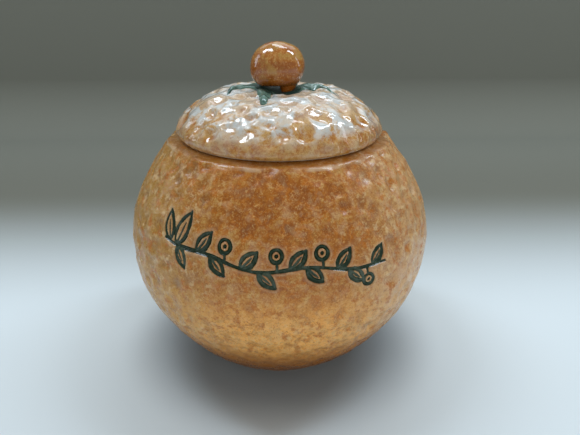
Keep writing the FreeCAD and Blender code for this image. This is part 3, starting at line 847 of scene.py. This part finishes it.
lid_profile = [
    (straight_path((0, CEILING_HEIGHT), (round_centre[0], CEILING_HEIGHT), INNER_STEP), 0),
    (arc_path(round_centre, ceiling_round, math.pi / 2, 0, 2 * mm), 0),
    ([(FLANGE_INNER, FLANGE_FOOT + 1.2 * mm)], 0),
    ([(FLANGE_INNER + 0.4 * mm, FLANGE_FOOT + 0.4 * mm)], 0),
    ([(FLANGE_INNER + 1.2 * mm, FLANGE_FOOT), (FLANGE_OUTER - 1.2 * mm, FLANGE_FOOT)], 0),
    ([(FLANGE_OUTER - 0.4 * mm, FLANGE_FOOT + 0.4 * mm)], 0),
    ([(FLANGE_OUTER, FLANGE_FOOT + 1.2 * mm)], 0),
    ([(FLANGE_OUTER, SEAT_HEIGHT), (CONTACT_RADIUS, SEAT_HEIGHT)], 0),
    (straight_path((CONTACT_RADIUS, SEAT_HEIGHT), (LIP_RADIUS, LIP_HEIGHT), LID_STEP), 0),
    (arc_path(edge_centre, EDGE_ARC, lip_turn, lip_turn + 0.3, 0.5 * mm), 0.15),
    (arc_path(edge_centre, EDGE_ARC, lip_turn + 0.45, edge_turn, 0.6 * mm), 0.7),
    (arc_path(hip_centre, HIP_ARC, edge_turn, hip_turn, LID_STEP), 1),
    (arc_path(crown_centre, CROWN_ARC, hip_turn, math.pi / 2, LID_STEP), 1),
    (arc_path(crest_centre, CREST_ARC, math.pi / 2, hollow_turn + math.pi, LID_STEP), 0.6),
    (arc_path(hollow_centre, hollow_arc, hollow_turn, -math.pi / 2, LID_STEP), 0.3),
]
bm, skin_layer = turned_shape(lid_profile, LID_COLUMNS)
LID_MARK_DEPTH = 1.25 * mm
LID_MARK_RADIUS = 3.5 * mm
LID_MARK_SPACING = 5.2 * mm
LID_GLAZE_THICKNESS = 0.40 * mm
places, normals, skin = surface(bm, skin_layer)
marks = scattered(places[skin > 0.5], LID_MARK_SPACING, seed=21)
shaken_places = shaken(places, 9 * mm, 1.2 * mm, seed=28)
sunk = beaten(shaken_places, marks, LID_MARK_RADIUS, LID_MARK_DEPTH, seed=22)
move = skin * (LID_GLAZE_THICKNESS - sunk)
move += skin * (
    0.35 * mm * lumps(places, 24 * mm, seed=23) + 0.20 * mm * lumps(places, 8 * mm, seed=24)
)
move += skin * 0.065 * mm * lumps(places, 2.9 * mm, seed=27)
push(bm, normals, move)
lid_surface = BVHTree.FromBMesh(bm)
lid_dome = finished_mesh(bm, "lid_dome", skin_depth=np.clip(sunk / LID_MARK_DEPTH, 0, 1.2) * skin)
bm.free()
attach(lid_dome, "root")
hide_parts("lid")

PALE_CLAY = (0.66, 0.635, 0.575, 1)
GREY_CLAY = (0.53, 0.55, 0.53, 1)

glaze = Recipe("lid_glaze")
height = glaze.axis("Z")
hollow = glaze.attribute("skin_depth")
depth = glaze.around(glaze.window(height, 93 * mm, 101 * mm, 0.34, 0.12), (hollow, 0.40))
colour, grain = sponged_orange(glaze, depth, 1.1)
thin = glaze.around(glaze.noise(7 * mm, 5.0, 0.65, 0.6), (hollow, -0.07))
thin = glaze.window(thin, 0.43, 0.58)
thin = glaze.math("MULTIPLY", thin, glaze.window(height, 94 * mm, 100 * mm, 0.15, 1.0))
thin = glaze.math("MAXIMUM", thin, glaze.window(height, 99 * mm, 105 * mm, 0.0, 0.45))
clay = glaze.mix(glaze.window(glaze.noise(7 * mm, 3.0), 0.40, 0.60), PALE_CLAY, GREY_CLAY)
clay = glaze.mix(glaze.window(glaze.noise(5 * mm, 3.0), 0.52, 0.64, 0.0, 0.4), clay, GOLD_TAN)
clay = glaze.mix(glaze.window(grain, 0.50, 0.30, 0.0, 0.45), clay, GOLDEN)
colour = glaze.mix(thin, colour, clay)
colour = glaze.mix(glaze.window(glaze.attribute("skin"), 0.0, 0.12), CREAM_INSIDE, colour)
glaze.bump(glaze.noise(1.9 * mm, 2.0), 0.12 * mm)
gloss = glaze.window(glaze.noise(5 * mm, 2.0), 0.3, 0.7, 0.05, 0.09)
glaze.fire(lid_dome, colour, gloss, coat=0.6)


# ---- Calyx ----
# A star of thin rolled clay with five pointed lobes, pressed onto the lid's crown under the stem
# and glazed a dark sea green. Each lobe swells to a soft midrib and thins to its edges, and the
# clay is left thicker at the tip of the front one.

LOBES = [
    # along the middle of each lobe, from the stem outwards: right, back, half the width, in mm
    [(3.0, -0.2, 4.0), (7.4, -0.6, 4.8), (11.0, 2.0, 3.4), (14.0, 3.2, 2.0), (16.8, 0.2, 0.75),
     (19.3, -3.0, 0.50), (21.6, -6.4, 0.36)],
    [(2.0, 2.5, 5.0), (3.6, 7.0, 3.4), (4.8, 11.0, 2.4), (5.6, 14.6, 1.2), (6.0, 17.8, 0.3)],
    [(-1.5, 2.8, 5.0), (-3.6, 7.2, 3.6), (-6.0, 11.0, 2.6), (-8.3, 14.0, 1.3), (-9.5, 16.8, 0.3)],
    [(-3.0, 1.0, 5.0), (-8.0, 2.2, 4.2), (-12.2, 2.0, 3.2), (-15.6, -0.3, 2.0), (-17.4, -3.6, 1.0),
     (-18.4, -7.4, 0.25)],
    [(-3.0, -1.6, 4.4), (-5.0, -6.5, 3.1), (-5.2, -11.0, 2.3), (-5.2, -15.0, 1.7),
     (-5.3, -18.2, 1.2)],
]
STAR_STEP = 0.30 * mm
STAR_REACH = 24 * mm
CALYX_THICKNESS = 1.05 * mm
CALYX_EDGE = 1.1 * mm      # the rounding of its edge reaches this far in
CALYX_SINK = 0.6 * mm      # its underside lies this far inside the lid's glaze
MIDRIB = 0.30 * mm
MIDRIB_WIDTH = 0.6 * mm
VALLEY_SOFTNESS = 0.6 * mm
SETTLING_ROUNDS = 3
BRIDGING_ROUNDS = 12
FRONT_TIP = (-5.2, -17.0)      # right and back, mm
FRONT_TIP_SWELL = 0.6 * mm
FRONT_TIP_REACH = 2.4 * mm


def smooth_path(stops, count=40):
    """Evenly counted points of a soft curve through the stops."""
    stops = np.array(stops)
    for _ in range(3):
        ahead = stops[:-1] * 0.75 + stops[1:] * 0.25
        behind = stops[:-1] * 0.25 + stops[1:] * 0.75
        inner = np.stack([ahead, behind], axis=1).reshape(-1, stops.shape[1])
        stops = np.vstack([stops[:1], inner[1:-1], stops[-1:]])
    along = np.linspace(0, len(stops) - 1, count)
    return np.stack([np.interp(along, range(len(stops)), column) for column in stops.T], axis=1)


def inside_lobe(plan, path):
    """How far each point lies inside a lobe's edge, and its distance to the lobe's middle line."""
    inside = np.full(len(plan), -1.0)
    middle = np.full(len(plan), 1.0)
    for a, b in zip(path[:-1], path[1:]):
        step = b[:2] - a[:2]
        t = np.clip(((plan - a[:2]) @ step) / (step @ step), 0, 1)
        gap = np.linalg.norm(plan - (a[:2] + t[:, None] * step), axis=1)
        inside = np.maximum(inside, a[2] + (b[2] - a[2]) * t - gap)
        middle = np.minimum(middle, gap)
    return inside, middle


paths = [smooth_path(np.array(stops) * mm) for stops in LOBES]


def inside_star(plan):
    """How far each point lies inside the whole star: the lobes flow together with soft valleys."""
    shares = [np.exp(inside_lobe(plan, path)[0] / VALLEY_SOFTNESS) for path in paths]
    return np.log(np.sum(shares, axis=0)) * VALLEY_SOFTNESS


bm = bmesh.new()
cells = round(2 * STAR_REACH / STAR_STEP)
bmesh.ops.create_grid(bm, x_segments=cells, y_segments=cells, size=STAR_REACH)
inside = inside_star(vertex_places(bm)[:, :2])
outer = [v for v, depth in zip(list(bm.verts), inside) if depth < -1.2 * STAR_STEP]
bmesh.ops.delete(bm, geom=outer, context="VERTS")
plan = vertex_places(bm)[:, :2]
nudge = 0.05 * mm
for _ in range(SETTLING_ROUNDS):      # the rim settles onto the star's outline
    inside = inside_star(plan)
    slope = np.stack([
        inside_star(plan + [nudge, 0]) - inside_star(plan - [nudge, 0]),
        inside_star(plan + [0, nudge]) - inside_star(plan - [0, nudge]),
    ], axis=1) / (2 * nudge)
    steep = np.maximum(np.sum(slope ** 2, axis=1), 0.2)
    rim = np.array([v.is_boundary for v in bm.verts])
    plan[rim] -= (slope * (inside / steep)[:, None])[rim]
for vert, spot in zip(bm.verts, plan):
    vert.co = (*spot, 0)
lifted = bmesh.ops.extrude_face_region(bm, geom=bm.faces[:])
upper = [item for item in lifted["geom"] if isinstance(item, bmesh.types.BMVert)]
plan = np.array([v.co[:2] for v in upper])
inset = np.clip(inside_star(plan) / CALYX_EDGE, 0, 1)
thickness = CALYX_THICKNESS * np.sqrt(1 - (1 - inset) ** 2)
for path in paths:
    ridge = np.exp(-(inside_lobe(plan, path)[1] / MIDRIB_WIDTH) ** 2)
    thickness += MIDRIB * inset * ridge
from_tip = np.sum((plan - np.array(FRONT_TIP) * mm) ** 2, axis=1)
thickness += FRONT_TIP_SWELL * inset * np.exp(-from_tip / FRONT_TIP_REACH ** 2)
flat_places = np.column_stack([plan, plan[:, 0] * 0])
thickness *= 1 + 0.12 * lumps(flat_places, 6 * mm, seed=41)
for vert, extra in zip(upper, thickness):
    vert.co.z = extra
raised = set(upper)
for vert in bm.verts:
    straight_down = lid_surface.ray_cast(Vector((vert.co.x, vert.co.y, 0.2)), Vector((0, 0, -1)))
    vert.co.z += straight_down[0].z - (0 if vert in raised else CALYX_SINK)
for _ in range(BRIDGING_ROUNDS):      # the clay bridges the tool marks beneath it
    bmesh.ops.smooth_vert(bm, verts=upper, factor=0.5, use_axis_z=True)
bmesh.ops.recalc_face_normals(bm, faces=bm.faces)
for face in bm.faces:
    face.smooth = True
calyx_star = finished_mesh(bm, "calyx_star")
bm.free()
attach(calyx_star, "root")
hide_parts("calyx")

DARK_TEAL = (0.016, 0.055, 0.045, 1)
SEA_GREEN = (0.11, 0.200, 0.160, 1)
SHEEN_TEAL = (0.20, 0.28, 0.24, 1)

glaze = Recipe("calyx_glaze")
from_stem = glaze.math("SQRT", glaze.math(
    "ADD", glaze.math("POWER", glaze.axis("X"), 2.0), glaze.math("POWER", glaze.axis("Y"), 2.0)
))
# Dark teal near the stem, painted shade under the knob, and sea green further out; noise mixes the
# two at random.
level = glaze.window(from_stem, 5 * mm, 13 * mm, 0.15, 0.65)
level = glaze.around(level, (glaze.noise(3.2 * mm, 3.0), 1.6), (glaze.noise(0.9 * mm, 2.0), 0.7))
colour = glaze.ramp(level, [DARK_TEAL, DARK_TEAL, SEA_GREEN, SEA_GREEN])
# Scattered paler grey-green patches: a painted sheen of the sky on the glaze.
sky_sheen = glaze.window(glaze.noise(1.6 * mm, 2.0), 0.62, 0.75, 0.0, 0.6)
colour = glaze.mix(sky_sheen, colour, SHEEN_TEAL)
glaze.bump(glaze.noise(2.4 * mm, 1.0), 0.08 * mm)
gloss = glaze.window(from_stem, 6 * mm, 10 * mm, 0.55, 0.07)
glaze.fire(calyx_star, colour, gloss, coat=0.2)


# ---- Knob ----
# A ball of clay rolled between the palms, a little flat beneath, on a short stem that was luted to
# the lid off centre. It was dipped in the same orange, darker towards the bottom.

KNOB_RADIUS = 9.8 * mm
KNOB_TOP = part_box("knob")[1][2]
KNOB_EQUATOR = 114.2 * mm
KNOB_UNDERSIDE = 107.6 * mm
KNOB_SIDE_ARC = 8.2 * mm
KNOB_SHIFT = -0.5 * mm
STEM_SHIFT = 2.9 * mm
STEM_FOOT, STEM_TOP = 103.0 * mm, 109.4 * mm
STEM_FOOT_RADIUS, STEM_TOP_RADIUS = 1.5 * mm, 3.6 * mm
KNOB_STEP = 0.7 * mm
KNOB_COLUMNS = 96
STEM_COLUMNS = 48
KNOB_GRAIN = 0.28 * mm      # the mesh that joins ball and stem into one skin
SOFTENING_ROUNDS = 24

low_arc = KNOB_EQUATOR - KNOB_UNDERSIDE
low_x = KNOB_RADIUS - low_arc
side_x = KNOB_RADIUS - KNOB_SIDE_ARC
rise = KNOB_TOP - KNOB_EQUATOR
top_arc = (side_x ** 2 + rise ** 2 - KNOB_SIDE_ARC ** 2) / (2 * (rise - KNOB_SIDE_ARC))
side_end = math.atan2(KNOB_EQUATOR - (KNOB_TOP - top_arc), side_x)
knob_profile = [
    (straight_path((0, KNOB_UNDERSIDE), (low_x, KNOB_UNDERSIDE), KNOB_STEP), 1),
    (arc_path((low_x, KNOB_EQUATOR), low_arc, -math.pi / 2, 0, KNOB_STEP), 1),
    (arc_path((side_x, KNOB_EQUATOR), KNOB_SIDE_ARC, 0, side_end, KNOB_STEP), 1),
    (arc_path((0, KNOB_TOP - top_arc), top_arc, side_end, math.pi / 2, KNOB_STEP), 1),
]
bm, skin_layer = turned_shape(knob_profile, KNOB_COLUMNS)
bmesh.ops.translate(bm, vec=(KNOB_SHIFT, 0, 0), verts=bm.verts)
stem_length = STEM_TOP - STEM_FOOT
stem = bmesh.ops.create_cone(
    bm, cap_ends=True, segments=STEM_COLUMNS, radius1=STEM_FOOT_RADIUS, radius2=STEM_TOP_RADIUS,
    depth=stem_length,
)
bmesh.ops.translate(bm, vec=(STEM_SHIFT, 0, STEM_FOOT + stem_length / 2), verts=stem["verts"])
rough_knob = finished_mesh(bm, "knob_rough")
bm.free()
one_skin = rough_knob.modifiers.new("one_skin", "REMESH")
one_skin.mode = "VOXEL"
one_skin.voxel_size = KNOB_GRAIN
soften = rough_knob.modifiers.new("soften", "SMOOTH")
soften.factor = 0.5
soften.iterations = SOFTENING_ROUNDS
joined = bpy.data.meshes.new_from_object(
    rough_knob.evaluated_get(bpy.context.evaluated_depsgraph_get())
)
bpy.data.objects.remove(rough_knob)
bm = bmesh.new()
bm.from_mesh(joined)
bmesh.ops.recalc_face_normals(bm, faces=bm.faces)
for face in bm.faces:
    face.smooth = True
bm.normal_update()
places = vertex_places(bm)
normals = np.array([v.normal[:] for v in bm.verts])
on_ball = ease(places[:, 2], 107.5 * mm, 110 * mm)
move = on_ball * (
    0.28 * mm * lumps(places, 15 * mm, seed=31) + 0.10 * mm * lumps(places, 6 * mm, seed=32)
)
heavy_side = np.array([-7.6, -2.5, 109.3]) * mm      # the ball sags a little at its lower left
move += 0.9 * mm * np.exp(-np.sum((places - heavy_side) ** 2, axis=1) / (4.2 * mm) ** 2)
run_down = np.array([6.4, -2.0, 107.9]) * mm      # glaze and clay run down beside the stem
move += 0.8 * mm * np.exp(-np.sum((places - run_down) ** 2, axis=1) / (2.6 * mm) ** 2)
push(bm, normals, move)
knob_ball = finished_mesh(bm, "knob_ball")
bm.free()
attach(knob_ball, "root")
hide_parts("knob")

glaze = Recipe("knob_glaze")
height = glaze.axis("Z")
depth = glaze.window(height, 120 * mm, 110 * mm, 0.72, 1.25)
colour, grain = sponged_orange(glaze, depth, 1.1)
olive = glaze.window(glaze.noise(5 * mm, 3.0), 0.46, 0.62, 0.0, 0.6)
olive = glaze.math("MULTIPLY", olive, glaze.window(height, 109 * mm, 114 * mm))
colour = glaze.mix(olive, colour, OLIVE_OCHRE)
glaze.bump(glaze.noise(2.2 * mm, 2.0), 0.10 * mm)
glaze.fire(knob_ball, colour, glaze.window(glaze.noise(5 * mm), 0.3, 0.7, 0.05, 0.10), coat=0.4)
